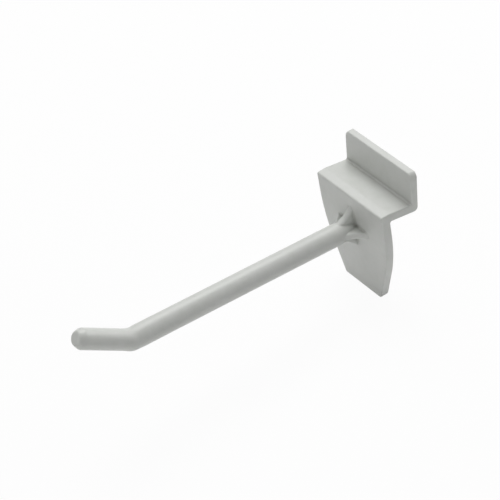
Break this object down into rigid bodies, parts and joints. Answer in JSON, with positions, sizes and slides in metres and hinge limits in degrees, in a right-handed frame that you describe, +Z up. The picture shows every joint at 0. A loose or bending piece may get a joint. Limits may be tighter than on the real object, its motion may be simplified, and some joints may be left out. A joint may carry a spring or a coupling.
{
  "type": "slatwall hook",
  "caption": "One-piece plastic display hook: a shield-shaped plate with a hooked ledge behind it for a slatted panel and a round arm with an upturned tip.",
  "frame": {"origin": "on the plate's flat back, where the arm's centreline meets it", "axes": "+Z up, +Y into the slatted panel, the arm points along -Y, X across the plate; the part is symmetric about X = 0"},
  "size_m": [0.033, 0.1165, 0.047],
  "materials": {
    "white_plastic": "moulded off-white plastic with a fine satin surface and softly rounded edges"
  },
  "bodies": {
    "root": {"slatwall_hook": "white_plastic"}
  },
  "joints": []
}
